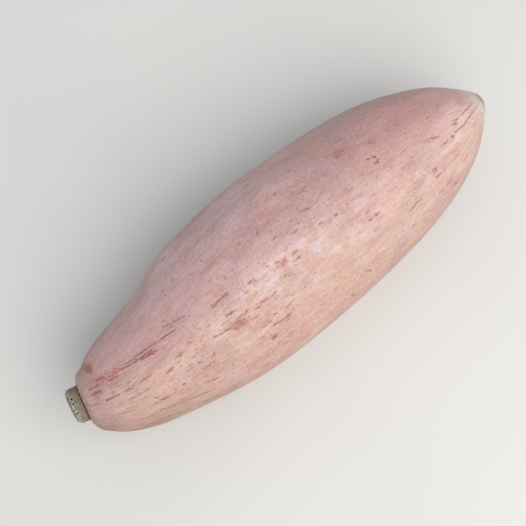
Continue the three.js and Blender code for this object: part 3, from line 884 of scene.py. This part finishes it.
def blushes_and_bloom(graph, place, color, flecked):
    """Orange blushes among the flecks, and a pale bloom near the crest."""
    blush = graph.fade(graph.pattern(place.around, *PATTERNS["blush"]), *BLUSH_FADE)
    blush = graph.times(graph.times(blush, flecked), BLUSH_SHARE)
    color = graph.mix(blush, color, rgb(*SHADES["blush"]))
    bloom = graph.fade(graph.pattern(place.around, *PATTERNS["bloom"]), *BLOOM_FADE)
    bloom = graph.times(bloom, graph.within(place.v, *BLOOM_ROUND))
    bloom = graph.times(bloom, graph.within(place.s, *BLOOM_ALONG))
    return graph.mix(graph.times(bloom, BLOOM_SHARE), color, rgb(*SHADES["bloom"]))


def random_flecks(graph, place, color, flecked, strands):
    """Layers of random flecks, and how deep the skin is marked by them."""
    depth = 0.0
    for layer in FLECK_LAYERS:
        field, tone = fleck_field(graph, place.around, layer, flecked)
        field = graph.plus(field, graph.times(strands, FLECK_STRANDS))
        fleck = graph.mix(tone, rgb(*SHADES["light fleck"]), rgb(*SHADES["dark fleck"]))
        color = graph.mix(graph.fade(field, *FLECK_FADE), color, fleck)
        depth = graph.highest(depth, field)
    return color, depth


def placed_marks(graph, place, color, depth, strands, mottle):
    """The marks that are placed one by one, from the palest to the darkest."""
    drift_place = graph.vector("MULTIPLY", place.around, LENGTHWISE)
    ragged = graph.drift(drift_place, *MARK_DRIFT)
    where = graph.vector("ADD", graph.join(place.s, place.v, 0.0), ragged)
    breaks = graph.fade(graph.pattern(place.around, *PATTERNS["breaks"]), *BREAKS_FADE)
    layers = [
        ("pale", mottle, (add_spindles, PALE_PATCHES)),
        ("tan", mottle, (add_spindles, TAN_PATCHES)),
        ("red", mottle, (add_spindles, RED_PATCHES)),
        ("faint", breaks, (add_spindles, FAINT_STREAKS)),
        ("olive", breaks, (add_lines, OLIVE_LINES)),
        ("rust", breaks, (add_spindles, RUST_STREAKS), (add_lines, RUST_LINES)),
        ("dark", breaks, (add_lines, DARK_LINES), (add_curl, CURL)),
    ]
    for name, texture, *shapes in layers:
        shade, frayed, outline, broken, dull = MARK_LOOKS[name]
        field = 0.0
        for add_marks, table in shapes:
            field = add_marks(graph, where, table, field)
        if frayed:
            field = graph.plus(field, graph.times(strands, frayed))
        shown = graph.fade(field, *outline)
        if broken:
            shown = graph.times(shown, graph.fade(texture, *broken))
        color = graph.mix(shown, color, rgb(*shade))
        if dull:
            depth = graph.highest(depth, field)
    return color, depth


def end_tones(graph, place, color, mottle):
    """The corky scar of the blossom with its green ring, and the dark skin in the dish, which is partly
    painted shade in the recess round the stem.
    """
    for ragged, tones in END_TONES:
        edge = graph.plus(place.s, graph.swing(mottle, ragged))
        for start, end, share, name in tones:
            color = graph.cover(color, edge, start, end, share, SHADES[name])
    return color


def skin_material():
    """Pink to salmon skin with long rust streaks, flecks, soft cloudy tones and a low sheen."""
    graph = Graph("squash_skin")
    place = skin_place(graph)
    color = broad_tones(graph, place)
    color = cloudy_tones(graph, place, color)
    flecked = graph.within(place.v, *FLECKED_ROUND)
    flecked = graph.times(flecked, graph.fade(place.s, *FLECKED_FROM))
    flecked = graph.times(flecked, graph.fade(place.s, *FLECKED_LESS))
    color = blushes_and_bloom(graph, place, color, flecked)
    grain = graph.pattern(place.around, *PATTERNS["grain"])
    color = graph.cover(color, grain, *GRAIN_FADE, SHADES["grain"])
    mottle = graph.pattern(place.around, *PATTERNS["mottle"])
    color = graph.cover(color, mottle, *PALE_MOTTLE_FADE, SHADES["pale mottle"])
    color = graph.cover(color, mottle, *DARK_MOTTLE_FADE, SHADES["dark mottle"])
    strands = graph.swing(graph.pattern(place.around, *PATTERNS["strands"]), STRAND_REACH)
    color, depth = random_flecks(graph, place, color, flecked, strands)
    color, depth = placed_marks(graph, place, color, depth, strands, mottle)
    color = end_tones(graph, place, color, mottle)
    pores = graph.pattern(place.around, *PATTERNS["pores"])
    normal = graph.bump(grain, *GRAIN_BUMP)
    normal = graph.bump(mottle, *MOTTLE_BUMP, normal)
    normal = graph.bump(pores, *PORE_BUMP, normal)
    roughness = graph.fade(mottle, *SKIN_ROUGHNESS)
    roughness = graph.plus(roughness, graph.fade(depth, *MARK_ROUGHNESS))
    return graph.finish(color, roughness, normal, SKIN_SPECULAR)


def cork_material():
    """Dry corky stub: olive tan sides with fibres, a pale greenish cut face with open vessels painted dark
    as shade, and a crevice at the foot partly painted as shade.
    """
    graph = Graph("stem_cork")
    stem = graph.attribute("stem", "Vector")
    cut = graph.attribute("cut")
    hole = graph.attribute("hole")
    lip = graph.attribute("lip")
    out = graph.parts(stem)[2]
    fibres = graph.pattern(stem, *PATTERNS["cork fibres"])
    lumps = graph.pattern(stem, *PATTERNS["cork lumps"])
    crumbs = graph.pattern(stem, *PATTERNS["cork crumbs"])
    clouds = graph.fade(lumps, *CORK_CLOUDS)
    side = graph.mix(clouds, rgb(*SHADES["dark cork"]), rgb(*SHADES["light cork"]))
    side = graph.cover(side, fibres, *CORK_FIBRES, SHADES["fibre"])
    side = graph.cover(side, out, *CORK_FOOT, SHADES["cork foot"])
    # The dark crevice at the foot, partly painted shade where the stub sinks into the dish
    ragged_out = graph.plus(out, graph.swing(lumps, CREVICE_DRIFT))
    side = graph.cover(side, ragged_out, *CREVICE_SHADE_EDGE, SHADES["crevice"])
    clouds = graph.fade(lumps, *FACE_CLOUDS)
    face = graph.mix(clouds, rgb(*SHADES["dark face"]), rgb(*SHADES["light face"]))
    face = graph.cover(face, crumbs, *FACE_CRUMBS, SHADES["crumb"])
    whitish = graph.times(graph.fade(lip, *LIP_EDGE), graph.fade(lumps, *LIP_CLOUDS))
    face = graph.mix(graph.times(whitish, LIP_SHARE), face, rgb(*SHADES["lip"]))
    color = graph.mix(graph.fade(cut, *FACE_EDGE), side, face)
    # The open vessels and the pith hole painted dark as shade
    color = graph.cover(color, hole, *HOLE_SHADE_EDGE, SHADES["hole"])
    normal = graph.bump(graph.mix(cut, fibres, crumbs), *FIBRE_BUMP)
    normal = graph.bump(lumps, *LUMP_BUMP, normal)
    roughness = graph.fade(crumbs, *CORK_ROUGHNESS)
    return graph.finish(color, roughness, normal, CORK_SPECULAR)


def floor_material():
    graph = Graph("floor_paint")
    where = graph.add("ShaderNodeTexCoord", {}).outputs["Object"]
    shade = graph.noise(where, FLOOR_CLOUD_SIZE).outputs[0]
    clouds = graph.fade(shade, *FLOOR_CLOUDS)
    color = graph.mix(clouds, rgb(*SHADES["floor"]), rgb(*SHADES["light floor"]))
    normal = graph.bump(graph.noise(where, FLOOR_GRAIN_SIZE).outputs[0], *FLOOR_BUMP)
    return graph.finish(color, FLOOR_ROUGHNESS, normal, FLOOR_SPECULAR)


def add_floor():
    signs = ((-1, -1), (1, -1), (1, 1), (-1, 1))
    corners = [(x * FLOOR_HALF_SIZE, y * FLOOR_HALF_SIZE, 0) for x, y in signs]
    mesh = bpy.data.meshes.new("floor")
    mesh.from_pydata(corners, [], [(0, 1, 2, 3)])
    mesh.materials.append(floor_material())
    floor = bpy.data.objects.new("floor", mesh)
    bpy.context.scene.collection.objects.link(floor)


def add_world():
    world = bpy.data.worlds.new("studio")
    world.use_nodes = True
    background = world.node_tree.nodes["Background"]
    background.inputs["Color"].default_value = (*WORLD_COLOR, 1.0)
    background.inputs["Strength"].default_value = WORLD_STRENGTH
    bpy.context.scene.world = world


def add_key_light():
    light = bpy.data.lights.new("key", "AREA")
    light.shape = "DISK"
    light.size = KEY_SIZE
    light.energy = KEY_POWER
    light.color = KEY_COLOR
    lamp = bpy.data.objects.new("key", light)
    lamp.location = KEY_PLACE
    towards = Vector(KEY_TARGET) - Vector(KEY_PLACE)
    lamp.rotation_euler = towards.to_track_quat("-Z", "Y").to_euler()
    bpy.context.scene.collection.objects.link(lamp)


def add_camera():
    camera = bpy.data.objects.new("camera", bpy.data.cameras.new("camera"))
    camera.location = CAMERA_PLACE
    camera.rotation_euler = (CAMERA_TILT, 0, CAMERA_TURN)
    camera.data.lens = CAMERA_LENS
    bpy.context.scene.collection.objects.link(camera)
    bpy.context.scene.camera = camera


add_piece("fruit_skin", fruit_mesh(), "fruit", skin_material())
add_piece("stub_cork", stub_mesh(), "stem_stub", cork_material())
add_floor()
add_world()
add_key_light()
add_camera()
bpy.context.scene.view_settings.view_transform = "Standard"
bpy.context.view_layer.update()
